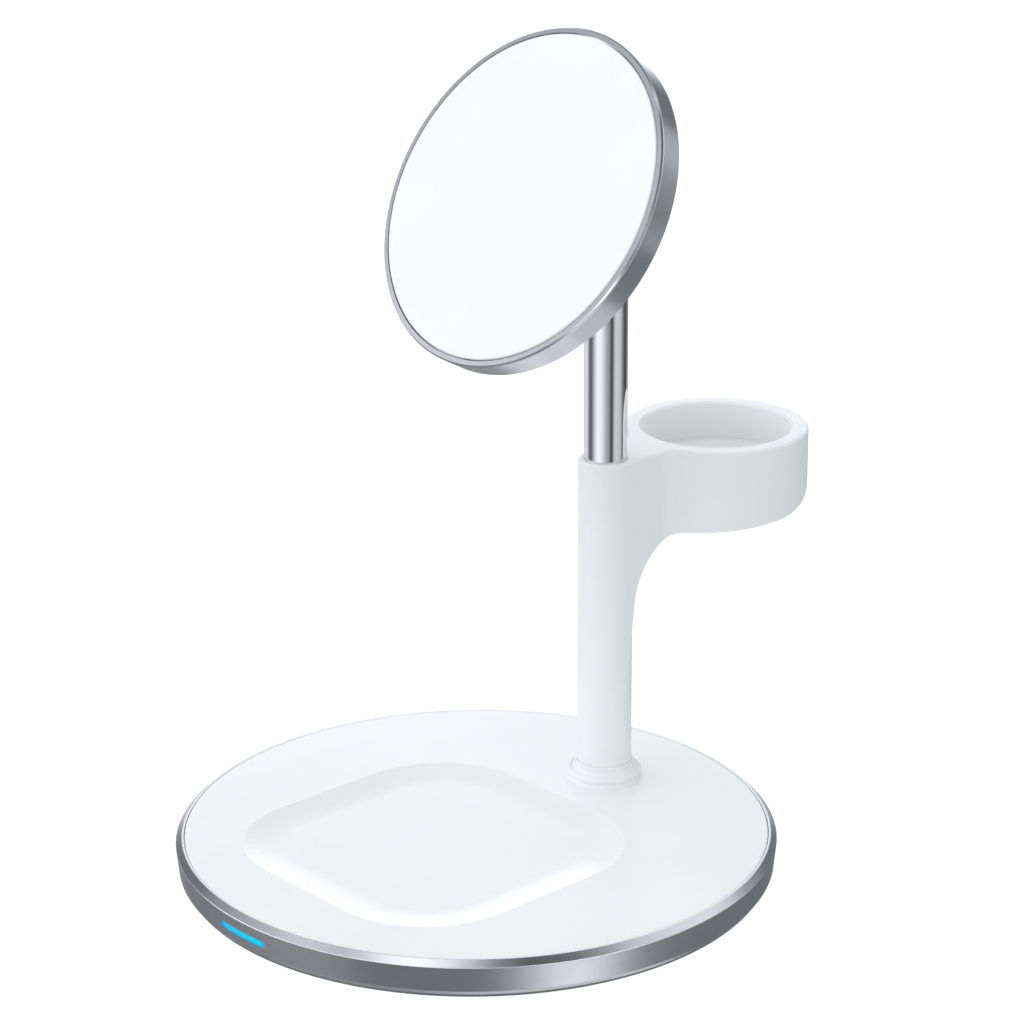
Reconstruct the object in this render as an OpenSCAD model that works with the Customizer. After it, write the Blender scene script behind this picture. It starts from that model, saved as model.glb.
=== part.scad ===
/* [Base] */
// Outer diameter of the metal edge ring
base_d = 110; // [100:1:140]
// Height of the white top plate above the table
base_h = 7.2; // [7.1:0.1:12]
// Gap between the table and the underside of the ring
ring_lift = 0.7; // [0.5:0.1:0.9]
// Width of the flat land between the plate and the ring's sloped edge
ring_land = 0.42; // [0.2:0.02:0.8]
// Width of the sloped edge on top of the ring
ring_chamfer_w = 1.08; // [0.7:0.02:1.6]
// Drop of the sloped edge on top of the ring
ring_chamfer_h = 1.05; // [0.6:0.05:1.3]
// Inward lean of the ring's wall from its top to its bottom
ring_draft = 0.45; // [0.2:0.05:0.8]
// Rounding between the ring's wall and its sloped edge
ring_edge_r = 0.25; // [0.1:0.05:0.6]
// Height of the small bevel under the ring's wall
ring_bevel_h = 0.85; // [0.4:0.05:1.2]
// Thickness of the ring's wall beside the inner parts
ring_wall = 2.4; // [2:0.1:3.5]
// Thickness of the white top plate
plate_t = 1.45; // [1.2:0.05:2]
// Thickness of the underside cover
cover_t = 0.7; // [0.6:0.05:1]
// Thickness of the non-slip foot sheet
foot_t = 1.1; // [1:0.1:1.6]
// Width of the band between the foot sheet's thick middle and the edge of the ring
foot_margin = 4; // [3:0.5:8]
// Distance that the foot sheet's brim stays inside the ring's underside
foot_inset = 0.35; // [0.2:0.05:1.5]

/* [Earbud pad] */
// Side length of the square dish
pad_size = 60.2; // [50:0.5:64]
// Corner radius of the dish
pad_corner_r = 19; // [14:0.5:24]
// Distance from the base's centre to the dish's centre, towards the front
pad_front = 10.3; // [8:0.1:13]
// Depth of the dish
pad_depth = 0.85; // [0.4:0.05:1.1]
// Width of the dish's sloping edge
pad_slope = 7.7; // [4:0.1:10]
// Thickness of the plate under the dish
pad_floor = 1.2; // [1:0.05:1.5]

/* [Light bar] */
// Length of the glowing bar in the ring's front
light_w = 12.4; // [8:0.2:20]
// Height of the glowing bar
light_h = 1.4; // [0.8:0.1:1.8]
// Drop of the bar below the middle of the ring's wall
light_drop = 0.3; // [0:0.05:0.5]

/* [Post and arm] */
// Distance from the back edge of the base forward to the post's axis
post_inset = 22.4; // [20:0.1:26]
// Diameter of the white post
post_d = 10.2; // [9.8:0.1:12]
// Height of the post's top and of the watch cup above the table
post_top = 70.6; // [60:0.5:90]
// Diameter of the metal tube
tube_d = 8; // [7.6:0.1:8.4]
// Wall of the metal tube
tube_wall = 0.8; // [0.6:0.05:1]
// Rounding along the top edge of post, arm and cup
edge_r = 0.5; // [0.3:0.05:0.8]
// Largest diameter of the collar at the post's foot
collar_d = 14; // [13.6:0.1:18]
// Height of the collar
collar_h = 3.5; // [3.2:0.1:5]

/* [Watch cup] */
// Distance from the post's axis back to the cup's axis
cup_reach = 29.1; // [26:0.1:36]
// Diameter of the pocket for a watch puck
pocket_d = 28.4; // [27:0.1:32]
// Depth of the pocket
pocket_depth = 7.2; // [5:0.1:9]
// Wall around the pocket
cup_wall = 3.3; // [2.4:0.1:4.5]
// Height of arm and cup where the underside leaves the fillet
arm_h = 15.65; // [13:0.05:20]
// Rise of the arm's underside towards the back, in degrees
arm_rise = 5; // [0:0.1:6]
// Radius of the big fillet under the arm
web_r = 14; // [10:0.5:16]
// Distance from the post's axis back to the fillet's centre
web_reach = 16.7; // [16.2:0.1:20]
// Lean of the fillet's lower end towards the post, in degrees
web_lean = 7; // [6:0.1:20]
// Height of the rounded corner low at the back of the cup
cup_corner_h = 9.5; // [4:0.5:11]
// Radius of the hollow corner between arm and cup
neck_r = 4.3; // [3:0.1:7]
// Width of the slot that lets the puck's lead out
slot_w = 7; // [5:0.5:9]
// Length of the slot that lets the puck's lead out
slot_l = 9; // [6:0.5:11]

/* [Head] */
// Height of the tilt axis above the table
hinge_z = 110.8; // [104:0.1:130]
// Lean of the head back from upright, in degrees
head_tilt = 30.4; // [20:0.1:45]
// Distance from the tilt axis out to the charging face
head_reach = 25.1; // [24:0.1:32]
// Diameter of the white charging face
face_d = 60.2; // [59:0.1:72]
// Thickness of the charging face
face_t = 1.3; // [1:0.1:1.8]
// Gap between the charging face and its rim
face_gap = 0.25; // [0.15:0.05:0.5]
// Width of the rim around the face
rim_w = 1.05; // [0.9:0.05:2]
// Depth of the rim
rim_depth = 5.1; // [4.6:0.1:7]
// Width of the fine bevel at the front of the rim
rim_bevel = 0.24; // [0.1:0.02:0.5]
// Width and depth of the fine groove turned behind the bevel
rim_groove = 0.2; // [0.1:0.02:0.3]
// Height of the domed back behind the rim
dome_h = 3.1; // [2:0.1:5]
// Wall of the domed back
back_wall = 1.4; // [1:0.1:1.8]

/* [Tilt joint] */
// Diameter of the tongue's round end
tongue_d = 10; // [9.4:0.1:10.6]
// Thickness of the tongue
tongue_w = 6; // [5.6:0.1:7]
// Thickness of each fork ear
ear_t = 2.2; // [2:0.1:2.8]
// Width of the fork's rim outside the tongue's round end
fork_over = 0.3; // [0.1:0.1:1]
// Diameter of the pivot screws' shoulders
pivot_d = 3.2; // [2.8:0.1:3.6]
// Thickness of each friction washer
washer_t = 0.36; // [0.2:0.02:0.6]

/* [Inside the base] */
// Thickness of the steel ballast plate
ballast_t = 1.8; // [1.4:0.1:2]
// Width of the main board
board_w = 48; // [44:1:56]
// Distance from the post's axis forward to the edge of the main board
board_reach = 16.5; // [14:0.5:18]
// Width of the gap between the tube and the main board round it
board_gap = 4; // [3:0.5:5]
// Thickness of the circuit boards
board_t = 0.8; // [0.6:0.1:1]
// Outer diameter of the earbud coil
pad_coil_d = 41; // [34:1:44]
// Thickness of the earbud coil
pad_coil_t = 0.9; // [0.6:0.1:1]
// Thickness of the ferrite under the earbud coil
pad_ferrite_t = 0.5; // [0.4:0.1:0.6]
// Distance of the base screws in from the ring's inner wall
screw_inset = 6.15; // [5:0.05:8]
// Diameter of the lead inside the tube
lead_d = 1.4; // [1.2:0.1:1.4]

/* [Inside the head] */
// Gap between the ring of magnets and the wall of the domed back
magnet_gap = 1.45; // [1:0.05:2]
// Width of the magnets
magnet_w = 4.2; // [3:0.1:5]
// Thickness of the magnets
magnet_t = 1.8; // [1.2:0.1:2]
// Number of magnets round the coil
magnet_n = 16; // [12:1:18]
// Width of the opening at the bottom of the ring of magnets
magnet_mouth = 14; // [10:0.5:18]
// Gap between the magnets and the phone coil
coil_gap = 1.8; // [1.2:0.1:3]
// Width of the step between the phone coil and the edge of the head's board
head_board_step = 1.5; // [1:0.1:4]
// Width of the fork's flange outside its stem
fork_flange = 3.3; // [3:0.1:4]
// Thickness of the phone coil
coil_t = 1.1; // [0.8:0.1:1.2]

/* [Hidden] */
$fn = 96;

// Clearances shared by pieces that seat in each other
fit = 0.05;
seam = 0.12;
eps = 0.01;

// Heights of the base, counted up from the table
cover_z = foot_t;
cover_top = cover_z + cover_t;
plate_z = base_h - plate_t;
wall_z0 = ring_lift + ring_bevel_h;
wall_z1 = base_h - ring_chamfer_h;
wall_mid = (wall_z0 + wall_z1) / 2;
light_z = wall_mid - light_drop;
pad_z = base_h - pad_depth;
well_z = pad_z - pad_floor;
board_top = cover_top + board_t;
ballast_z = plate_z - ballast_t;
socket_z = (cover_top + plate_z) / 2;

// Radii of the base
ring_r = base_d / 2;
wall_r0 = ring_r - ring_draft;
bevel_w = 0.6;
ring_lip_r = 0.12;
slope_r = ring_r - ring_chamfer_w;
lip_r = slope_r - ring_land;
plate_r = lip_r - seam;
inner_r = wall_r0 - ring_wall;
cover_flange_r = inner_r + 1;
cover_flange_h = 0.8;
foot_r = ring_r - foot_margin;
foot_brim_r = wall_r0 - bevel_w - foot_inset;
ballast_r = inner_r - 1.5;
screw_r = inner_r - screw_inset;
boss_r = 2.6;
screw_angles = [40, 140, 220, 320];

// Post, arm and cup
post_y = ring_r - post_inset;
post_r = post_d / 2;
tube_r = tube_d / 2;
tube_in = tube_r - tube_wall;
collar_r = collar_d / 2;
collar_lip_r = post_r + 0.35;
collar_top = base_h + collar_h;
nut_h = 1.8;
nut_r = collar_lip_r;
cup_y = post_y + cup_reach;
pocket_r = pocket_d / 2;
cup_r = pocket_r + cup_wall;
web_y = post_y + web_reach;
web_z = post_top - arm_h - web_r;
lean_y = web_y - web_r * cos(web_lean);
lean_z = web_z + web_r * sin(web_lean);
web_foot = lean_z - (lean_y - post_y) / tan(web_lean);
neck_y = cup_y - sqrt(pow(cup_r + neck_r, 2) - pow(post_r + neck_r, 2));

// Half-widths of the fork, counted out from the middle of the tongue
ear_x0 = tongue_w / 2 + washer_t + 0.04;
ear_x1 = ear_x0 + ear_t;
stem_r = ear_x1 + 0.6;

// Head, counted out from the tilt axis along the face's normal
face_r = face_d / 2;
rim_in = face_r + face_gap;
rim_r = rim_in + rim_w;
rim_draft = 0.15;
rim_sink = 0.2;
rim_front = head_reach - rim_sink;
rim_groove_z = rim_front - rim_bevel - 0.8 * rim_groove;
face_back = head_reach - face_t;
shelf_back = face_back - 0.7;
spigot_r = rim_in - 0.15;
rim_back = head_reach - rim_depth;
dome_z = rim_back - dome_h;
dome_r = rim_r - rim_draft - 0.3;
dome_sphere = (pow(dome_r, 2) + pow(dome_h - seam, 2)) / (2 * (dome_h - seam));
boss_z = dome_z - 0.2;
flange_t = 1.5;
flange_z = boss_z - flange_t;
flange_r = stem_r + fork_flange;
seat_z = dome_z + back_wall + 0.3;
head_board_z = seat_z + 1.2;
spigot_wall = 1.2;
magnet_z = face_back - magnet_t;
magnet_r = spigot_r - fit - spigot_wall - magnet_gap;
coil_r = magnet_r - magnet_w - coil_gap;
head_board_r = coil_r - head_board_step;
yoke_t = 0.5;
coil_z = face_back - coil_t;

// Tilt joint, counted out from the middle of the tongue
tongue_r = tongue_d / 2;
ear_r = tongue_r + fork_over;
pivot_r = pivot_d / 2;
pivot_head_r = pivot_r + 1;
pivot_head_t = 0.7;
pivot_tip_r = pivot_r - 0.5;
lead_r = lead_d / 2;
lead_room = lead_r + 0.4;
lead_gap = 1.3;
cap_t = 1.4;
shoulder_h = ear_r + 0.6 + cap_t;
tube_top = hinge_z - shoulder_h;
slot_bottom = tongue_r + 0.7;

// Points along an arc round [cx, cy], in degrees
function arc(cx, cy, r, from, to, n = 8) =
    [for (i = [0 : n]) let (a = from + (to - from) * i / n) [cx + r * cos(a), cy + r * sin(a)]];

// Outline of a round bar of radius r from z0 to z1 with its top edge rounded by e
function rounded_top(r, z0, z1, e) = concat([[0, z0], [r, z0]], arc(r - e, z1 - e, e, 0, 90), [[0, z1]]);

// One closed loop of the dish, drawn in by inset, at height z
function pad_loop(inset, z) = let (h = pad_size / 2 - pad_corner_r, r = pad_corner_r - inset)
    [for (q = [0 : 3]) for (p = arc(0, 0, r, q * 90, q * 90 + 90, pad_steps))
        [p[0] + h * (q == 0 || q == 3 ? 1 : -1), p[1] + h * (q < 2 ? 1 : -1) - pad_front, z]];
pad_steps = 12;
pad_rings = 10;

// A flat bar with round ends, w wide and h high, standing in the XZ plane from y0 back to y1
module stadium(w, h, y0, y1) {
    translate([0, y1, 0])
        rotate([90, 0, 0])
            linear_extrude(y1 - y0) {
                square([w - h, h], center = true);
                for (side = [-1, 1]) translate([side * (w - h) / 2, 0]) circle(d = h);
            }
}

// A prism along X with its outline in the YZ plane
module side_prism(points, half_w) {
    translate([-half_w, 0, 0])
        rotate([90, 0, 90])
            linear_extrude(2 * half_w) polygon(points);
}

module bar_x(r, x0, x1) {
    translate([x0, 0, 0]) rotate([0, 90, 0]) cylinder(r = r, h = x1 - x0);
}

// Puts a piece that is drawn about the tilt axis where the head holds it
module on_head() {
    translate([0, post_y, hinge_z]) rotate([90 - head_tilt, 0, 0]) children();
}

module revolve(points) {
    rotate_extrude() polygon(points);
}

module at_screws() {
    for (a = screw_angles) rotate(a) translate([screw_r, 0, 0]) children();
}

// Turned section of the edge ring: leaning wall, rounded corner, and sloped top edge
module ring_section() {
    wall_a = atan2(ring_draft, wall_z1 - wall_z0);
    slope_a = atan2(ring_chamfer_h, ring_chamfer_w);
    turn = (90 - slope_a + wall_a) / 2;
    back = ring_edge_r / cos(turn);
    aim = (90 - slope_a - wall_a) / 2;
    revolve(concat(
        [[inner_r, ring_lift + cover_flange_h], [cover_flange_r + fit, ring_lift + cover_flange_h],
         [cover_flange_r + fit, ring_lift], [wall_r0 - bevel_w, ring_lift], [wall_r0, wall_z0]],
        arc(ring_r - back * cos(aim), wall_z1 - back * sin(aim), ring_edge_r, -wall_a, 90 - slope_a, 5),
        [[slope_r, base_h]],
        arc(lip_r + ring_lip_r, base_h - ring_lip_r, ring_lip_r, 90, 180, 3),
        [[lip_r, plate_z], [inner_r, plate_z]]));
}

module base_ring() {
    color([0.72, 0.73, 0.75])
        difference() {
            ring_section();
            translate([0, 0, light_z]) stadium(light_w, light_h, -ring_r - 1, -inner_r + 1);
            translate([0, 0, socket_z]) stadium(usb_w + 0.4, usb_h + 0.4, inner_r - 1, ring_r + 1);
        }
}

// Hollow of the dish: steepest at its rim, easing into a flat floor
module pad_dish() {
    loops = concat([pad_loop(0, base_h + 1)],
        [for (k = [0 : pad_rings]) let (u = k / pad_rings)
            pad_loop(pad_slope * u, base_h - pad_depth * (1 - pow(1 - u, 2)))]);
    n = len(loops[0]);
    last = (len(loops) - 1) * n;
    polyhedron(
        points = [for (loop = loops) for (p = loop) p],
        faces = concat(
            [[for (i = [n - 1 : -1 : 0]) i]],
            [for (k = [0 : len(loops) - 2]) for (i = [0 : n - 1]) let (j = (i + 1) % n)
                [k * n + i, k * n + j, (k + 1) * n + j, (k + 1) * n + i]],
            [[for (i = [0 : n - 1]) last + i]]));
}

// Thicker floor under the dish
module pad_well() {
    margin = 0.8;
    size = pad_size + 2 * margin;
    r = pad_corner_r;
    translate([0, -pad_front, well_z])
        linear_extrude(plate_z - well_z + eps) {
            square([size - 2 * r, size], center = true);
            square([size, size - 2 * r], center = true);
            for (x = [-1, 1]) for (y = [-1, 1]) translate([x, y] * (size / 2 - r)) circle(r = r);
        }
}

module top_plate() {
    color([0.96, 0.96, 0.97])
        difference() {
            union() {
                revolve(concat([[0, plate_z], [plate_r, plate_z]],
                    arc(plate_r - 0.3, base_h - 0.3, 0.3, 0, 90, 4), [[0, base_h]]));
                pad_well();
                at_screws() translate([0, 0, boss_foot]) cylinder(r = boss_r, h = plate_z - boss_foot + eps);
            }
            pad_dish();
            translate([0, post_y, well_z]) cylinder(r = tube_r + fit, h = base_h);
            at_screws() translate([0, 0, boss_foot - 1]) cylinder(r = 0.9, h = plate_z - boss_foot + 1);
        }
}
boss_foot = cover_top + 0.8;

module bottom_cover() {
    color([0.9, 0.9, 0.91])
        difference() {
            union() {
                translate([0, 0, ring_lift]) cylinder(r = cover_flange_r, h = cover_flange_h);
                translate([0, 0, ring_lift]) cylinder(r = inner_r - fit, h = cover_top - ring_lift);
                at_screws() translate([0, 0, cover_top - eps]) cylinder(r = boss_r + 0.6, h = 0.75 + eps);
            }
            translate([0, 0, ring_lift - 1]) cylinder(r = foot_r + fit, h = foot_t - ring_lift + 1);
            at_screws() {
                cylinder(r = 1.3, h = base_h);
                cylinder(r = 2.3, h = cover_z + 0.8);
            }
        }
}

module foot_sheet() {
    color([0.25, 0.26, 0.28])
        revolve([[0, 0], [foot_brim_r - 0.2, 0], [foot_brim_r, 0.2], [foot_brim_r, ring_lift - fit],
                 [foot_r, ring_lift - fit], [foot_r, foot_t], [0, foot_t]]);
}

module base_screws() {
    color([0.6, 0.6, 0.62])
        at_screws() {
            translate([0, 0, cover_z + 0.1]) difference() {
                cylinder(r = 2.15, h = 0.7);
                translate([0, 0, -1]) cylinder(r = 1.1, h = 1.4, $fn = 6);
            }
            translate([0, 0, cover_z + 0.8 - eps]) cylinder(r = 0.88, h = plate_z - cover_z - 1.2);
        }
}

module light_bar() {
    color([0.1, 0.8, 1])
        intersection() {
            translate([0, 0, light_z])
                stadium(light_w - 2 * fit, light_h - 2 * fit, -ring_r - 1, -inner_r + 0.6);
            revolve([[inner_r - 0.6, ring_lift], [wall_r0 - bevel_w - 0.1, ring_lift], [wall_r0 - 0.1, wall_z0],
                     [ring_r - 0.1, wall_z1], [inner_r - 0.6, wall_z1]]);
        }
}

// Small board that stands the light chips behind the bar
module light_board() {
    color([0.1, 0.35, 0.2])
        translate([-light_w / 2 - 2, -inner_r + 1.2, cover_top]) cube([light_w + 4, 5, board_t]);
}

module light_chips() {
    chip_h = light_z + 0.5 - board_top;
    color([0.95, 0.9, 0.6])
        for (x = [-1, 0, 1])
            translate([x * light_w / 3.4 - 0.8, -inner_r + 1.2, board_top]) cube([1.6, 1.2, chip_h]);
}

// Flat ribbon from the light board back to the main board
module light_ribbon() {
    ribbon_w = 4;
    front = -inner_r + 6.2;
    color([0.75, 0.5, 0.2])
        translate([-ribbon_w / 2, front, cover_top]) cube([ribbon_w, board_front - front, 0.3]);
}
board_front = post_y - board_reach;
board_hole_r = tube_r + board_gap;

module ballast_plate() {
    well_back = pad_size / 2 + 0.8 - pad_front;
    color([0.45, 0.46, 0.48])
        translate([0, 0, ballast_z])
            difference() {
                cylinder(r = ballast_r, h = ballast_t);
                translate([-ring_r, -2 * ring_r + well_back + 1, -1])
                    cube([2 * ring_r, 2 * ring_r, ballast_t + 2]);
                translate([0, post_y, -1]) cylinder(r = tube_r + fit, h = ballast_t + 2);
                translate([-usb_w / 2 - 1, inner_r - usb_l - 1.5, -1])
                    cube([usb_w + 2, usb_l + 5, ballast_t + 2]);
                at_screws() translate([0, 0, -1]) cylinder(r = boss_r + 0.5, h = ballast_t + 2);
            }
}

// Main board, open round the tube's foot and notched for the socket
module main_board() {
    color([0.1, 0.35, 0.2])
        translate([0, 0, cover_top])
            difference() {
                intersection() {
                    cylinder(r = ballast_r, h = board_t);
                    translate([-board_w / 2, board_front, 0]) cube([board_w, ring_r, board_t]);
                }
                translate([0, post_y, -1]) cylinder(r = board_hole_r, h = board_t + 2);
                at_screws() translate([0, 0, -1]) cylinder(r = boss_r + 1.2, h = board_t + 2);
                translate([-usb_w / 2 - fit, inner_r - usb_l, -1]) cube([usb_w + 2 * fit, usb_l, board_t + 2]);
            }
}

// Chips, chokes and capacitors on the main board
module board_parts() {
    part_h = ballast_z - board_top - 0.25;
    unit = board_w / 48;
    side = board_hole_r + 2 * unit;
    front = board_reach - 3.5 * unit;
    places = [[-side - 8 * unit, -front + unit, 5, 5], [-side, -front, 4, 3], [side - 2 * unit, -front, 6, 4],
              [side + 6 * unit, -front + 2 * unit, 4, 4], [-side - 8 * unit, -2 * unit, 6, 6],
              [-side - 7 * unit, board_hole_r, 4, 3], [side + 2 * unit, -2 * unit, 6, 6],
              [side + 3 * unit, board_hole_r, 3, 4]];
    color([0.15, 0.15, 0.16])
        for (p = places)
            translate([p[0], post_y + p[1], board_top]) cube([p[2] * unit, p[3] * unit, part_h]);
}

usb_w = 8.94;
usb_h = 3.2;
usb_l = 7.4;
module usb_socket() {
    mouth = ring_r - 0.7;
    color([0.78, 0.79, 0.8])
        translate([0, 0, socket_z]) {
            difference() {
                stadium(usb_w, usb_h, mouth - usb_l, mouth);
                stadium(usb_w - 0.6, usb_h - 0.6, mouth - usb_l + 0.8, mouth + 1);
            }
            translate([-3.35, mouth - usb_l + 0.4, -0.35]) cube([6.7, usb_l - 1.4, 0.7]);
        }
}

module flat_coil(outer, bore, t, turns) {
    pitch = (outer - bore) / turns;
    groove = min(0.25, t / 4);
    difference() {
        cylinder(r = outer, h = t);
        translate([0, 0, -1]) cylinder(r = bore, h = t + 2);
        for (i = [1 : turns - 1])
            translate([0, 0, -1]) difference() {
                cylinder(r = bore + i * pitch + groove / 2, h = groove + 1);
                translate([0, 0, -1]) cylinder(r = bore + i * pitch - groove / 2, h = groove + 3);
            }
    }
}

module earbud_coil() {
    color([0.75, 0.42, 0.2])
        translate([0, -pad_front, well_z - pad_coil_t]) flat_coil(pad_coil_d / 2, 8, pad_coil_t, 9);
}

module earbud_ferrite() {
    side = pad_coil_d + 4;
    color([0.2, 0.2, 0.22])
        translate([-side / 2, -pad_front - side / 2, well_z - pad_coil_t - pad_ferrite_t])
            cube([side, side, pad_ferrite_t]);
}

// Turned collar: rounded foot, hollow flank, and a lip that takes the post
module post_collar() {
    lip_z = base_h + collar_h;
    flank_r = collar_lip_r + 0.05;
    color([0.95, 0.95, 0.96])
        difference() {
            revolve(concat([[0, base_h], [collar_r + 0.15, base_h], [collar_r + 0.15, base_h + 0.06]],
                arc(collar_r - collar_foot_r, base_h + 1.2, collar_foot_r, -35, 60, 8),
                arc(flank_r + 1.1, base_h + collar_h * 0.8, 1.1, 255, 180, 6),
                [[flank_r, lip_z - 0.2], [flank_r - 0.15, lip_z], [0, lip_z]]));
            translate([0, 0, base_h - 1]) cylinder(r = tube_r + fit, h = collar_h + 2);
            translate([0, 0, collar_seat]) cylinder(r = post_r + fit, h = collar_h);
            translate([0, 0, base_h - 1]) cylinder(r = nut_r + fit, h = nut_h + 1 + fit);
        }
}
collar_seat = base_h + collar_h - 1;
collar_foot_r = 0.95;

module at_post() {
    translate([0, post_y, 0]) children();
}

// Ring nut that clamps the plate against the ballast, under the collar
module tube_nut() {
    color([0.7, 0.7, 0.72])
        translate([0, 0, base_h])
            difference() {
                cylinder(r = nut_r, h = nut_h);
                translate([0, 0, -1]) cylinder(r = tube_r + fit / 2, h = nut_h + 2);
                for (side = [-1, 1])
                    translate([side * (nut_r + tube_r + 1.2) / 2 - 0.75, -0.5, nut_h - 0.6])
                        cube([1.5, 1, 1]);
            }
}

// Outline of the space under the arm: the fillet's leaning end, the fillet, the rising
// underside, and the rounded corner under the cup's back half
module under_arm() {
    far = cup_y + 2 * cup_r;
    rise_y = web_y - web_r * sin(arm_rise);
    rise_z = web_z + web_r * cos(arm_rise);
    reach = cup_r + fit;
    side_prism(concat(
        [[far, web_foot - 5], [post_y, web_foot - 5], [post_y, web_foot]],
        arc(web_y, web_z, web_r, 180 - web_lean, 90 + arm_rise, 20),
        [for (i = [0 : 18]) let (a = 5 * i, y = cup_y + reach * sin(a))
            [y, rise_z + (y - rise_y) * tan(arm_rise) + cup_corner_h * (1 - cos(a))]],
        [[cup_y + reach, post_top], [far, post_top]]), cup_r + 2);
}

// Hollow corner between arm and cup, with the same rounded top edge
module neck_web(side) {
    x = post_r + neck_r;
    steps = 8;
    difference() {
        translate([0, 0, web_foot])
            linear_extrude(post_top - web_foot)
                polygon([[0, neck_y], [side * x, neck_y], [0, cup_y]]);
        translate([side * x, neck_y, 0])
            revolve(concat([[0, web_foot - 1], [neck_r, web_foot - 1]],
                [for (i = [0 : steps]) let (a = 90 * i / steps)
                    [neck_r + edge_r * (1 - cos(a)), post_top - edge_r + edge_r * sin(a)]],
                [[neck_r + edge_r, post_top + 1], [0, post_top + 1]]));
    }
}

module arm_bar() {
    h = post_top - web_foot;
    translate([0, cup_y, 0])
        rotate([90, 0, 0])
            linear_extrude(cup_reach)
                polygon(concat([[-post_r, web_foot], [post_r, web_foot]],
                    arc(post_r - edge_r, post_top - edge_r, edge_r, 0, 90),
                    arc(edge_r - post_r, post_top - edge_r, edge_r, 90, 180)));
}

// Post, arm and watch cup, moulded as one
module post_shell() {
    pocket_z = post_top - pocket_depth;
    lip = 0.4;
    color([0.96, 0.96, 0.96])
        difference() {
            union() {
                at_post() revolve(rounded_top(post_r, collar_seat + fit, post_top, edge_r));
                difference() {
                    union() {
                        arm_bar();
                        neck_web(1);
                        neck_web(-1);
                        translate([0, cup_y, 0]) revolve(rounded_top(cup_r, web_foot, post_top, edge_r));
                    }
                    under_arm();
                }
            }
            at_post() translate([0, 0, base_h]) cylinder(r = tube_r + fit, h = post_top);
            translate([0, cup_y, 0])
                revolve([[0, pocket_z], [pocket_r, pocket_z], [pocket_r, post_top - lip],
                         [pocket_r + lip, post_top], [pocket_r + lip, post_top + 1], [0, post_top + 1]]);
            translate([-slot_w / 2, cup_y - pocket_r + 1, web_foot - 1])
                cube([slot_w, slot_l, post_top - web_foot - pocket_depth + 2]);
        }
}

// Bright tube with a flange that bears up against the ballast
module upright_tube() {
    flange = 0.5;
    color([0.8, 0.8, 0.82])
        at_post()
            difference() {
                union() {
                    translate([0, 0, ballast_z - flange]) cylinder(r = tube_r, h = tube_top - ballast_z + flange);
                    translate([0, 0, ballast_z - flange]) cylinder(r = tube_r + 2, h = flange);
                }
                translate([0, 0, cover_top]) cylinder(r = tube_in, h = tube_top);
            }
}

// Lead from the main board, under the flange and up the tube to the tilt axis
module tube_lead() {
    bend = 1.1;
    z = cover_top + lead_r;
    board_edge = board_hole_r - fit;
    color([0.2, 0.2, 0.21])
        at_post() {
            translate([0, 0, z + bend]) cylinder(r = lead_r, h = hinge_z - lead_gap - z - bend);
            translate([0, 0, hinge_z - lead_gap]) sphere(r = lead_r, $fn = 32);
            translate([0, -bend, z + bend]) rotate([90, 0, 90]) rotate([0, 0, -90])
                rotate_extrude(angle = 90, $fn = 96) translate([bend, 0]) circle(r = lead_r, $fn = 32);
            translate([0, -board_edge, z]) rotate([-90, 0, 0]) cylinder(r = lead_r, h = board_edge - bend);
        }
}

// Tongue on the tube: round end, cap over the tube's mouth, and a plug inside the tube
module hinge_tongue() {
    plug = 9;
    color([0.75, 0.76, 0.78])
        translate([0, post_y, hinge_z])
            difference() {
                union() {
                    bar_x(tongue_r, -tongue_w / 2, tongue_w / 2);
                    intersection() {
                        translate([0, 0, -shoulder_h]) cylinder(r = tube_r + 0.4, h = shoulder_h);
                        cube([tongue_w, 3 * tongue_r, 3 * shoulder_h], center = true);
                    }
                    translate([0, 0, -shoulder_h]) cylinder(r = tube_r + 0.4, h = cap_t);
                    translate([0, 0, -shoulder_h - plug]) cylinder(r = tube_in - fit / 2, h = plug + eps);
                }
                translate([0, 0, -shoulder_h - plug - 1]) cylinder(r = lead_room, h = shoulder_h + plug + 1);
                bar_x(lead_gap + lead_r + 0.3, -lead_room, lead_room);
                bar_x(pivot_tip_r + fit / 2, -tongue_w, tongue_w);
                side_prism([[0.5, -2.2], [-tongue_d, -2.2], [-tongue_d, tongue_d], [0.5, tongue_d]], lead_room);
            }
}

module friction_washers() {
    color([0.3, 0.3, 0.32])
        translate([0, post_y, hinge_z])
            for (side = [0, 1]) mirror([side, 0, 0])
                difference() {
                    bar_x(tongue_r - 0.6, tongue_w / 2, tongue_w / 2 + washer_t);
                    bar_x(pivot_r + fit, 0, tongue_w);
                }
}

// Two shoulder screws, one from each side, that leave the middle free for the lead
module pivot_screws() {
    head_x = ear_x1 - 1 + fit;
    color([0.55, 0.56, 0.58])
        translate([0, post_y, hinge_z])
            for (side = [0, 1]) mirror([side, 0, 0])
                difference() {
                    union() {
                        bar_x(pivot_tip_r, lead_room + 0.3, tongue_w / 2 + eps);
                        bar_x(pivot_r, tongue_w / 2, head_x + eps);
                        bar_x(pivot_head_r, head_x, head_x + pivot_head_t);
                    }
                    translate([head_x + 0.2, 0, 0]) rotate([0, 90, 0]) cylinder(r = 1.1, h = 2, $fn = 6);
                }
}

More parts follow.
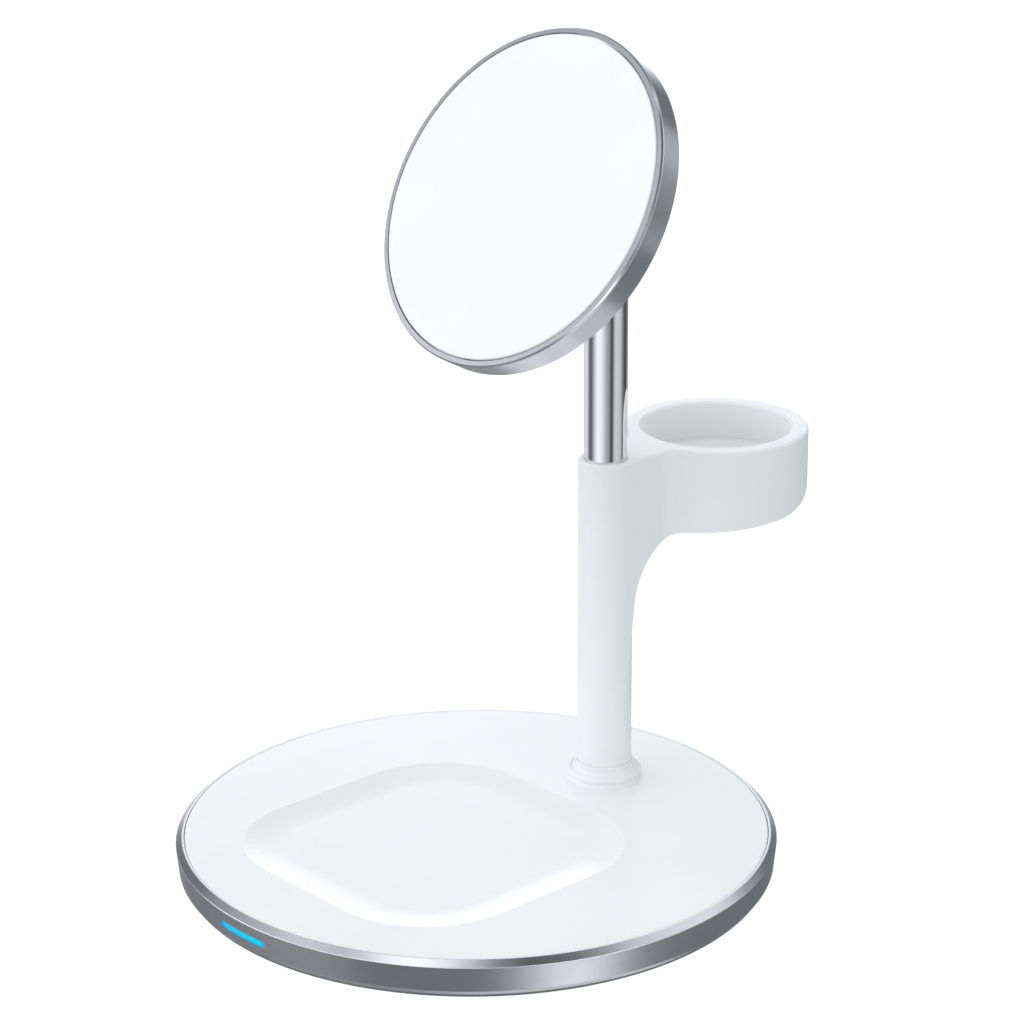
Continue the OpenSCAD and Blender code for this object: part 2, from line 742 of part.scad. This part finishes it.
// Forked stem that carries the head
module head_fork() {
    neck = slot_bottom + 1.2;
    color([0.75, 0.76, 0.78])
        on_head()
            difference() {
                union() {
                    intersection() {
                        cylinder(r = stem_r, h = 4 * ear_r, center = true);
                        union() {
                            bar_x(ear_r, -ear_x1, ear_x1);
                            translate([-ear_x1, -ear_r, 0]) cube([2 * ear_x1, 2 * ear_r, neck + 1]);
                        }
                    }
                    translate([0, 0, neck]) cylinder(r = stem_r, h = flange_z - neck + eps);
                    translate([0, 0, flange_z]) cylinder(r = flange_r, h = flange_t);
                }
                translate([-ear_x0, -2 * ear_r, -2 * ear_r])
                    cube([2 * ear_x0, 4 * ear_r, 2 * ear_r + slot_bottom]);
                bar_x(pivot_r + fit, -2 * stem_r, 2 * stem_r);
                for (side = [0, 1]) mirror([side, 0, 0]) bar_x(pivot_head_r + fit, ear_x1 - 1, 2 * stem_r);
                cylinder(r = lead_r + 0.3, h = boss_z + 1);
                at_fork_screws() translate([0, 0, flange_z + 0.2]) cylinder(r = 0.8, h = flange_t + 2);
            }
}

module at_fork_screws() {
    for (a = [90, 210, 330]) rotate(a) translate([stem_r + 1.2, 0, 0]) children();
}

module fork_screws() {
    foot = flange_z + 0.3;
    color([0.55, 0.56, 0.58])
        on_head()
            at_fork_screws() {
                translate([0, 0, foot]) cylinder(r = 0.78, h = seat_z - foot + eps);
                translate([0, 0, seat_z]) cylinder(r = 1.6, h = 0.7);
            }
}

// Domed white back with a spigot inside the rim
module head_back() {
    centre = dome_z + dome_sphere;
    color([0.95, 0.95, 0.96])
        on_head()
            difference() {
                union() {
                    intersection() {
                        translate([0, 0, centre]) sphere(r = dome_sphere, $fn = 180);
                        translate([0, 0, dome_z - 1]) cylinder(r = dome_r, h = rim_back - seam - dome_z + 1);
                    }
                    translate([0, 0, rim_back - seam - eps])
                        cylinder(r = spigot_r - fit, h = shelf_back - rim_back + seam - fit);
                    translate([0, 0, boss_z]) cylinder(r = flange_r + 0.6, h = 1);
                }
                difference() {
                    intersection() {
                        translate([0, 0, centre]) sphere(r = dome_sphere - back_wall, $fn = 180);
                        translate([0, 0, dome_z])
                            cylinder(r = spigot_r - fit - spigot_wall, h = rim_depth + dome_h);
                    }
                    cylinder(r = flange_r + 0.6, h = seat_z);
                    at_back_posts() cylinder(r = 1.6, h = head_board_z);
                }
                cylinder(r = lead_r + 0.3, h = head_reach);
                at_fork_screws() cylinder(r = 0.85, h = seat_z + 1);
            }
}

module at_back_posts() {
    for (a = [0, 120, 240]) rotate(a) translate([head_board_r - 4, 0, 0]) children();
}

module head_rim() {
    color([0.72, 0.73, 0.76])
        on_head()
            revolve([[rim_in, rim_front], [rim_r - rim_bevel, rim_front], [rim_r, rim_front - rim_bevel],
                     [rim_r, rim_groove_z + rim_groove / 2], [rim_r - rim_groove, rim_groove_z],
                     [rim_r, rim_groove_z - rim_groove / 2], [rim_r - rim_draft, rim_back],
                     [spigot_r, rim_back], [spigot_r, shelf_back], [face_r - 0.8, shelf_back],
                     [face_r - 0.8, face_back], [rim_in, face_back]]);
}

module head_face() {
    color([0.98, 0.98, 0.99])
        on_head()
            revolve(concat([[0, face_back], [face_r, face_back]],
                arc(face_r - 0.35, head_reach - 0.35, 0.35, 0, 90, 4), [[0, head_reach]]));
}

module magnet_ring() {
    pitch = 330 / magnet_n;
    gap = 1.2;
    color([0.6, 0.6, 0.63])
        on_head()
            translate([0, 0, magnet_z])
                difference() {
                    cylinder(r = magnet_r, h = magnet_t);
                    translate([0, 0, -1]) cylinder(r = magnet_r - magnet_w, h = magnet_t + 2);
                    for (i = [1 : magnet_n - 1]) rotate(-75 + i * pitch)
                        translate([magnet_r - magnet_w - 1, -gap / 2, -1])
                            cube([magnet_w + 2, gap, magnet_t + 2]);
                    rotate(-90) translate([magnet_r - magnet_w - 3, -magnet_mouth / 2, -1])
                        cube([magnet_w + 4, magnet_mouth, magnet_t + 2]);
                }
}

module magnet_yoke() {
    color([0.5, 0.5, 0.52])
        on_head()
            translate([0, 0, magnet_z - yoke_t])
                difference() {
                    cylinder(r = magnet_r, h = yoke_t);
                    translate([0, 0, -1]) cylinder(r = magnet_r - magnet_w, h = yoke_t + 2);
                }
}

module phone_coil() {
    color([0.75, 0.42, 0.2])
        on_head() translate([0, 0, coil_z]) flat_coil(coil_r, 8.5, coil_t, 10);
}

module phone_ferrite() {
    t = coil_z - head_board_z - board_t - 0.3;
    color([0.2, 0.2, 0.22])
        on_head() translate([0, 0, coil_z - min(t, 0.8)]) cylinder(r = coil_r + 0.5, h = min(t, 0.8));
}

module head_board() {
    color([0.1, 0.35, 0.2])
        on_head() translate([0, 0, head_board_z]) cylinder(r = head_board_r, h = board_t);
}

// Lead from the tilt axis out through the fork to the head's board
module head_lead() {
    color([0.2, 0.2, 0.21])
        on_head() {
            translate([0, 0, lead_gap]) cylinder(r = lead_r, h = head_board_z - lead_gap);
            translate([0, 0, lead_gap]) sphere(r = lead_r, $fn = 32);
        }
}

base_ring();
top_plate();
bottom_cover();
foot_sheet();
light_bar();
light_board();
light_chips();
light_ribbon();
ballast_plate();
main_board();
board_parts();
usb_socket();
earbud_coil();
earbud_ferrite();
base_screws();
at_post() post_collar();
at_post() tube_nut();
post_shell();
upright_tube();
tube_lead();
hinge_tongue();
friction_washers();
pivot_screws();
head_fork();
fork_screws();
head_back();
head_rim();
head_face();
magnet_ring();
magnet_yoke();
phone_coil();
phone_ferrite();
head_board();
head_lead();
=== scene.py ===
import math

import bmesh
import bpy
from mathutils import Matrix, Vector


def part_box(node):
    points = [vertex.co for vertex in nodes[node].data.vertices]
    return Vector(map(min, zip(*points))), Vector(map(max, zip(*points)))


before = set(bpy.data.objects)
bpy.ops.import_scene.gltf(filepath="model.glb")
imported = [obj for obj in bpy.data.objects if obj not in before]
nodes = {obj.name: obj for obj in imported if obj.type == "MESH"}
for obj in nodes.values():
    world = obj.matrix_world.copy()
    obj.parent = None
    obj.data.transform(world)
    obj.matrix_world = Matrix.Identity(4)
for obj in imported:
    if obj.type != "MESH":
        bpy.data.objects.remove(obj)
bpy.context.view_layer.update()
scene = bpy.context.scene
MM = 0.001
UP = (0, 0, 1)


# Node helpers

class Tree:
    """A node tree with short calls for the nodes used here."""

    def __init__(self, tree):
        self.t = tree
        tree.nodes.clear()

    def node(self, kind, inputs=None, **props):
        n = self.t.nodes.new(kind)
        for k, v in props.items():
            setattr(n, k, v)
        for k, v in (inputs or {}).items():
            self.put(n.inputs[k], v)
        return n

    def put(self, socket, value):
        if isinstance(value, bpy.types.NodeSocket):
            self.t.links.new(value, socket)
        else:
            socket.default_value = value

    def math(self, op, a, b=0.0, c=0.0):
        return self.node("ShaderNodeMath", {0: a, 1: b, 2: c}, operation=op).outputs[0]

    def vec(self, op, a, b=(0, 0, 0), out="Vector"):
        return self.node("ShaderNodeVectorMath", {0: a, 1: b}, operation=op).outputs[out]

    def dot(self, a, b):
        return self.vec("DOT_PRODUCT", a, b, out="Value")

    def times(self, vector, value):
        return self.vec("MULTIPLY", self.join(value, value, value), vector)

    def xyz(self, v):
        return self.node("ShaderNodeSeparateXYZ", {0: v}).outputs

    def join(self, x, y, z):
        return self.node("ShaderNodeCombineXYZ", {0: x, 1: y, 2: z}).outputs[0]

    def ramp(self, value, lo, hi, out_lo=0.0, out_hi=1.0, smooth=True):
        n = self.node("ShaderNodeMapRange", {0: value, 1: lo, 2: hi, 3: out_lo, 4: out_hi})
        n.interpolation_type = "SMOOTHSTEP" if smooth else "LINEAR"
        return n.outputs[0]

    def noise(self, vector, scale, detail, rough):
        return self.node("ShaderNodeTexNoise", {"Vector": vector, "Scale": scale, "Detail": detail,
                                                "Roughness": rough}).outputs[0]

    def mix(self, fac, a, b):
        n = self.node("ShaderNodeMix", data_type="RGBA")
        self.put(n.inputs[0], fac)
        self.put(n.inputs[6], a)
        self.put(n.inputs[7], b)
        return n.outputs[2]

    def bump(self, height, strength, distance, normal=None):
        n = self.node("ShaderNodeBump", {"Height": height, "Strength": strength, "Distance": distance})
        if normal is not None:
            self.put(n.inputs["Normal"], normal)
        return n.outputs[0]

    def place(self):
        return self.node("ShaderNodeTexCoord").outputs["Object"]


def rgb(colour, level=1.0):
    return (*[c * level for c in colour], 1.0)


def material(name):
    m = bpy.data.materials.new(name)
    m.use_nodes = True
    return m, Tree(m.node_tree)


def finish_material(t, **sockets):
    shader = t.node("ShaderNodeBsdfPrincipled")
    for key, value in sockets.items():
        t.put(shader.inputs[key.replace("_", " ")], value)
    t.put(t.node("ShaderNodeOutputMaterial").inputs[0], shader.outputs[0])


# Places on the part

def lower(node, k):
    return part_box(node)[0][k]


def upper(node, k):
    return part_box(node)[1][k]


def centre(node):
    lo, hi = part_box(node)
    return tuple((lo + hi) / 2)


def from_axis(t, middle, axis):
    """Place from a middle, its height along an axis, its offset from that axis, and the offset's length."""
    at = t.vec("SUBTRACT", t.place(), middle)
    height = t.dot(at, axis)
    offset = t.vec("SUBTRACT", at, t.times(axis, height))
    return at, height, offset, t.vec("LENGTH", offset, out="Value")


# Materials

# The steps between facets turn the surface by less than this, and a real edge by more
FACET_STEP = 0.12


def round_normal(t, offset, axis):
    """Surface direction of a turned piece, without the small steps of its facets."""
    n = t.node("ShaderNodeTexCoord").outputs["Normal"]
    side = t.vec("CROSS_PRODUCT", axis, t.vec("NORMALIZE", offset))
    off = t.dot(n, side)
    small = t.math("MULTIPLY", off, t.math("LESS_THAN", t.math("ABSOLUTE", off), FACET_STEP))
    n = t.vec("SUBTRACT", n, t.times(side, small))
    turn = t.node("ShaderNodeVectorTransform", {0: n}, vector_type="NORMAL", convert_from="OBJECT",
                  convert_to="WORLD")
    return t.vec("NORMALIZE", turn.outputs[0])


def plastic(name, light, dark, rough=0.42, grain=0.02, scale=900.0):
    """Moulded plastic: faint cloudy colour, a fine spark-eroded grain, and small scuffs."""
    m, t = material(name)
    at = t.place()
    cloud = t.noise(at, 38.0, detail=4.0, rough=0.5)
    speck = t.noise(at, scale, detail=2.0, rough=0.6)
    scuff = t.ramp(t.noise(at, 160.0, detail=6.0, rough=0.75), 0.5, 0.85)
    colour = t.mix(t.ramp(cloud, 0.3, 0.7), rgb(dark), rgb(light))
    roughness = t.math("ADD", t.ramp(cloud, 0.3, 0.7, rough - 0.03, rough + 0.03),
                       t.math("MULTIPLY", scuff, 0.015))
    finish_material(t, Base_Color=colour, Roughness=roughness, Normal=t.bump(speck, grain, 0.2 * MM), IOR=1.5)
    return m


def turned(name, tint, rough, middle=(0, 0, 0), axis=UP, lip=None):
    """Turned and anodised metal: fine lines that run round an axis, and a cloudy roughness.

    Within the radius of a lip, the metal is painted pale and unmetallic, as pale as the plate beside it: a
    painted highlight along the lip.
    """
    m, t = material(name)
    at, z, offset, r = from_axis(t, middle, axis)
    groove = t.noise(t.join(t.math("MULTIPLY", r, 7000.0), t.math("MULTIPLY", z, 7000.0), 0.0), 1.0,
                     detail=3.0, rough=0.6)
    cloud = t.noise(at, 60.0, detail=4.0, rough=0.6)
    wear = t.ramp(t.noise(at, 420.0, detail=5.0, rough=0.7), 0.6, 0.8)
    colour = t.mix(t.ramp(groove, 0.25, 0.75), rgb(tint, 0.965), rgb(tint))
    roughness = t.math("ADD", t.ramp(cloud, 0.3, 0.7, rough - 0.03, rough + 0.03),
                       t.math("MULTIPLY", wear, 0.05))
    metal = 1.0
    if lip is not None:
        # Painted highlight: inside the lip radius the metal takes a pale, unmetallic colour
        painted_lip_highlight = t.ramp(r, lip, lip + 0.04 * MM, 1.0, 0.0, smooth=False)
        colour = t.mix(painted_lip_highlight, colour, rgb((0.90, 0.90, 0.92)))
        metal = t.math("SUBTRACT", 1.0, painted_lip_highlight)
    normal = t.bump(groove, 0.02, 0.04 * MM, round_normal(t, offset, axis))
    finish_material(t, Base_Color=colour, Metallic=metal, Roughness=roughness, Normal=normal)
    return m


def polished(name, tint, rough, middle):
    """Polished upright tube: long faint draw lines and a trace of haze."""
    m, t = material(name)
    at = t.place()
    x, y, z = t.xyz(at)
    offset = t.join(t.math("SUBTRACT", x, middle[0]), t.math("SUBTRACT", y, middle[1]), 0.0)
    line = t.noise(t.join(t.math("MULTIPLY", x, 3000.0), t.math("MULTIPLY", y, 3000.0),
                          t.math("MULTIPLY", z, 40.0)), 1.0, detail=2.0, rough=0.5)
    haze = t.noise(at, 120.0, detail=5.0, rough=0.65)
    colour = t.mix(t.ramp(line, 0.3, 0.7), rgb(tint, 0.97), rgb(tint))
    finish_material(t, Base_Color=colour, Metallic=1.0,
                    Roughness=t.ramp(haze, 0.35, 0.75, rough, rough + 0.03),
                    Normal=t.bump(line, 0.04, 0.03 * MM, round_normal(t, offset, UP)))
    return m


def matte(name, light, dark, rough=0.8):
    """Rubber, resin and fibre: a cloudy colour under a fine grain."""
    m, t = material(name)
    at = t.place()
    cloud = t.noise(at, 55.0, detail=5.0, rough=0.6)
    speck = t.noise(at, 1400.0, detail=3.0, rough=0.6)
    colour = t.mix(t.ramp(cloud, 0.3, 0.7), rgb(dark), rgb(light))
    finish_material(t, Base_Color=colour, Roughness=t.ramp(speck, 0.3, 0.7, rough - 0.08, rough + 0.05),
                    Normal=t.bump(speck, 0.15, 0.3 * MM))
    return m


def wound(name, tint, middle, axis, pitch=0.7 * MM):
    """Enamelled wire laid in turns round an axis, with painted shade between the turns."""
    m, t = material(name)
    at, _, _, r = from_axis(t, middle, axis)
    wire = t.ramp(t.math("PINGPONG", r, pitch / 2), 0.0, pitch / 2)
    cloud = t.noise(at, 300.0, detail=4.0, rough=0.6)
    # Darker towards the edges of each turn: painted shade between the turns
    colour = t.mix(t.math("MULTIPLY", wire, t.ramp(cloud, 0.2, 0.8, 0.75, 1.0)), rgb(tint, 0.3), rgb(tint))
    finish_material(t, Base_Color=colour, Metallic=0.6, Roughness=0.35, Normal=t.bump(wire, 0.5, 0.2 * MM))
    return m


def board(name):
    """Solder mask over faint tracks, with tinned pads."""
    m, t = material(name)
    at = t.place()
    x, y, _ = t.xyz(at)
    grid = t.math("MAXIMUM", t.math("PINGPONG", x, 1.1 * MM), t.math("PINGPONG", y, 1.7 * MM))
    track = t.ramp(grid, 1.35 * MM, 1.5 * MM)
    pad = t.ramp(t.noise(at, 700.0, detail=2.0, rough=0.5), 0.7, 0.74)
    mask = t.mix(track, rgb((0.01, 0.13, 0.05)), rgb((0.02, 0.22, 0.09)))
    finish_material(t, Base_Color=t.mix(pad, mask, rgb((0.75, 0.75, 0.72))), Metallic=pad,
                    Roughness=t.ramp(track, 0.0, 1.0, 0.42, 0.3), Normal=t.bump(track, 0.2, 0.2 * MM))
    return m


def glow(name, piece):
    """Light guide: bright along its middle, bluer and dimmer at its ends and edges."""
    m, t = material(name)
    at = t.place()
    x, _, z = t.xyz(at)
    half_l = (upper(piece, 0) - lower(piece, 0)) / 2
    half_h = (upper(piece, 2) - lower(piece, 2)) / 2
    along = t.ramp(t.math("ABSOLUTE", x), half_l * 0.7, half_l)
    across = t.ramp(t.math("ABSOLUTE", t.math("SUBTRACT", z, centre(piece)[2])), half_h * 0.3, half_h)
    rightward = t.ramp(x, -half_l, half_l, smooth=False)
    middle = t.mix(rightward, rgb((0.0, 0.53, 0.80)), rgb((0.0, 0.62, 0.84)))
    end = t.mix(rightward, rgb((0.01, 0.24, 0.55)), rgb((0.02, 0.34, 0.52)))
    edge = t.mix(across, middle, rgb((0.035, 0.34, 0.55)))
    milk = t.noise(at, 900.0, detail=3.0, rough=0.6)
    finish_material(t, Base_Color=rgb((0.006, 0.06, 0.09)), Roughness=0.4, Specular_IOR_Level=0.15,
                    Emission_Color=t.mix(along, edge, end),
                    Emission_Strength=t.ramp(milk, 0.2, 0.8, 0.95, 1.05))
    return m


# The head's face leans back from upright by this much
TILT = math.radians(30.4)
FACE_AXIS = (0.0, -math.cos(TILT), math.sin(TILT))
PALE = (0.865, 0.866, 0.87)
PALE_CLOUD = (0.85, 0.851, 0.855)
COPPER = (0.72, 0.36, 0.16)

white = plastic("white_plastic", PALE, PALE_CLOUD, rough=0.21, grain=0.012)
post_white = plastic("post_plastic", PALE, PALE_CLOUD)
soft = plastic("soft_face", (0.915, 0.903, 0.898), (0.90, 0.888, 0.884), rough=0.55, grain=0.03, scale=1600.0)
ring_metal = turned("ring_metal", (0.72, 0.73, 0.78), rough=0.2, lip=upper("top_plate", 0) + 0.3 * MM)
rim_metal = turned("rim_metal", (0.725, 0.73, 0.77), rough=0.2, middle=centre("head_face"), axis=FACE_AXIS)
joint = turned("joint_metal", (0.74, 0.75, 0.77), rough=0.24, middle=centre("hinge_tongue"), axis=(1, 0, 0))
tube = polished("bright_tube", (0.86, 0.86, 0.88), rough=0.035, middle=centre("upright_tube"))
rubber = matte("foot_rubber", (0.20, 0.20, 0.21), (0.15, 0.15, 0.16))
steel = turned("plain_steel", (0.52, 0.52, 0.54), rough=0.38)
ferrite = matte("ferrite_sheet", (0.09, 0.09, 0.10), (0.06, 0.06, 0.065), rough=0.7)
chip = matte("chip_resin", (0.03, 0.03, 0.033), (0.02, 0.02, 0.022), rough=0.55)
jacket = matte("lead_jacket", (0.05, 0.05, 0.05), (0.035, 0.035, 0.035), rough=0.6)
film = plastic("ribbon_film", (0.62, 0.33, 0.08), (0.5, 0.26, 0.06), rough=0.25)
washer = matte("washer_fibre", (0.08, 0.08, 0.08), (0.05, 0.05, 0.05), rough=0.6)
lens = plastic("chip_lens", (0.9, 0.88, 0.6), (0.85, 0.8, 0.5), rough=0.2)

LOOK = {
    # Base
    "base_ring": ring_metal, "top_plate": white, "bottom_cover": white, "foot_sheet": rubber,
    "light_bar": glow("light_guide", "light_bar"), "light_board": board("light_board_mask"),
    "light_chips": lens, "light_ribbon": film, "ballast_plate": steel,
    "main_board": board("main_board_mask"), "board_parts": chip, "usb_socket": steel,
    "earbud_coil": wound("pad_wire", COPPER, centre("earbud_coil"), UP), "earbud_ferrite": ferrite,
    "base_screws": steel,
    # Post
    "post_collar": post_white, "tube_nut": steel, "post_shell": post_white, "upright_tube": tube,
    "tube_lead": jacket,
    # Tilt joint
    "hinge_tongue": joint, "friction_washers": washer, "pivot_screws": steel, "head_fork": joint,
    "fork_screws": steel,
    # Head
    "head_back": white, "head_rim": rim_metal, "head_face": soft, "magnet_ring": steel,
    "magnet_yoke": steel, "phone_coil": wound("head_wire", COPPER, centre("phone_coil"), FACE_AXIS),
    "phone_ferrite": ferrite, "head_board": board("head_board_mask"), "head_lead": jacket,
}
for name, mat in LOOK.items():
    slots = nodes[name].data.materials
    slots.clear()
    slots.append(mat)

# Camera: solved from the circles and edges of the photograph, in millimetres
CAMERA_AT = Vector((396.37, -352.87, 253.46)) * MM
CAMERA_TO = Vector((4.08, 5.54, 67.51)) * MM
CAMERA_ROLL = math.radians(0.317)
SENSOR = 36.0
LENS = 111.52
forward = (CAMERA_TO - CAMERA_AT).normalized()
right = forward.cross(Vector(UP)).normalized()
down = forward.cross(right)
image_x = right * math.cos(CAMERA_ROLL) + down * math.sin(CAMERA_ROLL)
image_y = down * math.cos(CAMERA_ROLL) - right * math.sin(CAMERA_ROLL)
camera = bpy.data.objects.new("camera", bpy.data.cameras.new("camera"))
scene.collection.objects.link(camera)
camera.matrix_world = Matrix((
    (image_x.x, -image_y.x, -forward.x, CAMERA_AT.x),
    (image_x.y, -image_y.y, -forward.y, CAMERA_AT.y),
    (image_x.z, -image_y.z, -forward.z, CAMERA_AT.z),
    (0, 0, 0, 1)))
camera.data.sensor_width = SENSOR
camera.data.lens = LENS
camera.data.clip_start = 0.01
camera.data.clip_end = 20.0
scene.camera = camera

# Floor: pale and without a shadow. It shows white, and gives back a softer light than that.
FLOOR_RADIUS = 3.0
FLOOR_SHOWN = 0.94
FLOOR_BOUNCE = 0.36
floor_mesh = bpy.data.meshes.new("floor")
bm = bmesh.new()
bmesh.ops.create_circle(bm, cap_ends=True, segments=96, radius=FLOOR_RADIUS)
bm.to_mesh(floor_mesh)
bm.free()
floor = bpy.data.objects.new("floor", floor_mesh)
scene.collection.objects.link(floor)
floor_pale, t = material("floor")
mottle = t.noise(t.place(), 30.0, detail=4.0, rough=0.5)
seen_straight = t.node("ShaderNodeLightPath").outputs["Is Camera Ray"]
finish_material(t, Base_Color=t.mix(mottle, rgb((0.19, 0.195, 0.20)), rgb((0.21, 0.215, 0.22))),
                Roughness=0.9, Emission_Color=rgb((0.976, 0.993, 1.0)),
                Emission_Strength=t.ramp(seen_straight, 0.0, 1.0, FLOOR_BOUNCE, FLOOR_SHOWN, smooth=False))
floor_mesh.materials.append(floor_pale)
floor.visible_glossy = False

# Soft studio light: a pale room, and the broad light and dark cards that the metal shows.
# Directions are taken from the front: dx is its right, dy is away from it and dz is up.
world = bpy.data.worlds.new("studio")
scene.world = world
world.use_nodes = True
world.cycles.sampling_method = "NONE"
w = Tree(world.node_tree)
FRONT_TURN = math.atan2(right.y, right.x)
LIGHT_TINT = (0.976, 0.993, 1.031)
direction = w.node("ShaderNodeTexCoord").outputs["Generated"]
from_front = w.node("ShaderNodeVectorRotate", {"Vector": direction, "Angle": -FRONT_TURN},
                    rotation_type="Z_AXIS").outputs[0]
dx, dy, dz = w.xyz(from_front)
bearing = w.math("MULTIPLY_ADD", w.math("ARCTAN2", dx, w.math("MULTIPLY", dy, -1.0)), 0.5 / math.pi, 0.5)

# A colour ramp holds values up to 1, so the cards are stored as parts of the brightest one
BRIGHTEST = 3.2


def card_ring(stops):
    """Brightness by bearing, in degrees from the front and rising to the right."""
    n = w.node("ShaderNodeValToRGB", {0: bearing})
    band = n.color_ramp
    band.interpolation = "LINEAR"
    points = [(a / 360 + 0.5, v / BRIGHTEST) for a, v in stops]
    band.elements[0].position, band.elements[-1].position = points[0][0], points[-1][0]
    for element, (_, v) in zip(band.elements, (points[0], points[-1])):
        element.color = (v, v, v, 1)
    for p, v in points[1:-1]:
        band.elements.new(p).color = (v, v, v, 1)
    return w.math("MULTIPLY", n.outputs[0], BRIGHTEST)


def blend(lower_ring, upper_ring, start, stop):
    fac = w.ramp(dz, math.sin(math.radians(start)), math.sin(math.radians(stop)))
    return w.math("ADD", w.math("MULTIPLY", lower_ring, w.math("SUBTRACT", 1.0, fac)),
                  w.math("MULTIPLY", upper_ring, fac))


FLOOR_CARDS = [(-180, .62), (-155, .56), (-138, .28), (-60, .26), (60, .27), (82, .66), (120, .70),
               (180, .62)]
LOW_CARDS = [(-180, .32), (-145, .23), (-126, .24), (-100, .27), (-80, .32), (-62, .31), (-50, .23),
             (-42, .19), (-8, .18), (5, .21), (18, .45), (30, .92), (42, 1.06), (54, .76), (64, .42),
             (73, .25), (84, .22), (100, .20), (126, .20), (144, .18), (160, .19), (180, .32)]
MID_CARDS = [(-180, .62), (-150, .70), (-124, .86), (-112, .62), (-99, .17), (-82, .15), (-70, .46),
             (-58, .82), (-44, 1.08), (-28, 1.02), (-16, .80), (0, .48), (16, .31), (25, .09), (34, .10),
             (42, .50), (54, .70), (80, .60), (94, .26), (112, .08), (128, .08), (140, .30), (180, .55)]
SIDE_CARDS = [(-180, 2.30), (-171, 1.70), (-164, 1.00), (-157, .42), (-146, .22), (-130, .22), (-120, .38),
              (-108, .60), (-90, .62), (-70, .70), (-50, .50), (-36, .60), (-24, 1.80), (22, 1.80),
              (36, .46), (70, .33), (88, .28), (104, .34), (116, .44), (126, .42), (136, .24), (152, .22),
              (160, .50), (168, 1.40), (180, 2.30)]
EDGE_CARDS = [(-180, 2.30), (-171, 1.70), (-164, 1.00), (-157, .42), (-146, .21), (-128, .20), (-120, .26),
              (-112, 1.60), (-100, 3.20), (-50, 3.20), (-40, .40), (14, .20), (22, 2.40), (30, 3.20),
              (58, 3.00), (70, .20), (98, .20), (108, .45), (116, .60), (126, .52), (133, .20), (152, .20),
              (160, .50), (168, 1.40), (180, 2.30)]
HIGH_CARDS = [(-180, 1.25), (-168, 1.15), (-154, .50), (-140, .22), (-128, .20), (-112, .36), (-90, .74),
              (-60, .74), (-30, .62), (0, .50), (50, .30), (74, .62), (90, 1.10), (108, .74), (120, .36),
              (130, .21), (148, .22), (160, .80), (168, 1.10), (180, 1.25)]
TOP_CARDS = [(-180, .28), (-125, .28), (-110, .38), (-92, .70), (-81, .92), (-71, .60), (-64, .54),
             (-50, 1.20), (-42, 1.50), (-22, 1.42), (-8, .85), (10, .27), (28, .09), (50, .10), (62, .34),
             (84, .90), (110, 1.05), (130, .50), (150, .28), (180, .28)]
# Each ring of cards, and the degrees of elevation over which it takes over from the one below
RINGS = [(LOW_CARDS, -56, -46), (MID_CARDS, -24, -20), (SIDE_CARDS, -11, -4), (EDGE_CARDS, 2, 6),
         (HIGH_CARDS, 17, 23), (TOP_CARDS, 23, 29)]
cards = card_ring(FLOOR_CARDS)
for stops, start, stop in RINGS:
    cards = blend(cards, card_ring(stops), start, stop)

# The room's level, and what it gains toward the right, away from the front and upward
ROOM = 1.300
ROOM_GAIN = (-0.360, 0.050, -0.370)
room = w.math("ADD", w.math("MULTIPLY_ADD", dx, ROOM_GAIN[0], ROOM),
              w.math("ADD", w.math("MULTIPLY", dy, ROOM_GAIN[1]), w.math("MULTIPLY", dz, ROOM_GAIN[2])))
path = w.node("ShaderNodeLightPath")


def background(colour, strength):
    return w.node("ShaderNodeBackground", {"Color": rgb(colour), "Strength": strength}).outputs[0]


def choose(ray, otherwise, shader):
    return w.node("ShaderNodeMixShader", {0: path.outputs[ray], 1: otherwise, 2: shader}).outputs[0]


lit = background(LIGHT_TINT, w.math("MAXIMUM", 0.02, room))
studio = choose("Is Glossy Ray", lit, background(LIGHT_TINT, cards))
studio = choose("Is Camera Ray", studio, background((1, 1, 1), 1.0))
w.put(w.node("ShaderNodeOutputWorld").inputs[0], studio)

scene.view_settings.view_transform = "Standard"
scene.view_settings.look = "None"
scene.cycles.use_denoising = True
